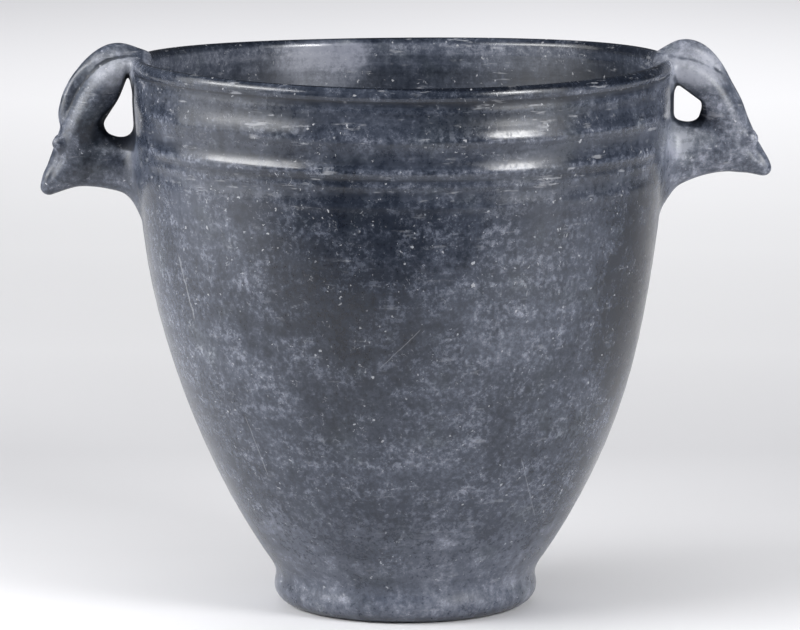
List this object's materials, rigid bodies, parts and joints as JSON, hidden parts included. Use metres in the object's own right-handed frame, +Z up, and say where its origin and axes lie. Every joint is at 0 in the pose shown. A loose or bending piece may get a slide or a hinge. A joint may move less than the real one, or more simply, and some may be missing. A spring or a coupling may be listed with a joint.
{
  "type": "krater",
  "caption": "Wide-mouthed dark burnished pottery mixing bowl with a bell-shaped wall, raised rings below the lip, a low ring foot and bird-headed handles at the rim.",
  "frame": {"origin": "middle of the foot, on the surface that the vessel stands on", "axes": "+Z up, +X through the two handles towards the one whose beak sits higher, -Y the front"},
  "size_m": [0.4017, 0.2972, 0.313],
  "materials": {
    "burnished_clay": "burnished grey-black fired clay, semi-gloss, worn and flecked"
  },
  "bodies": {
    "root": {"krater": "burnished_clay"}
  },
  "joints": []
}
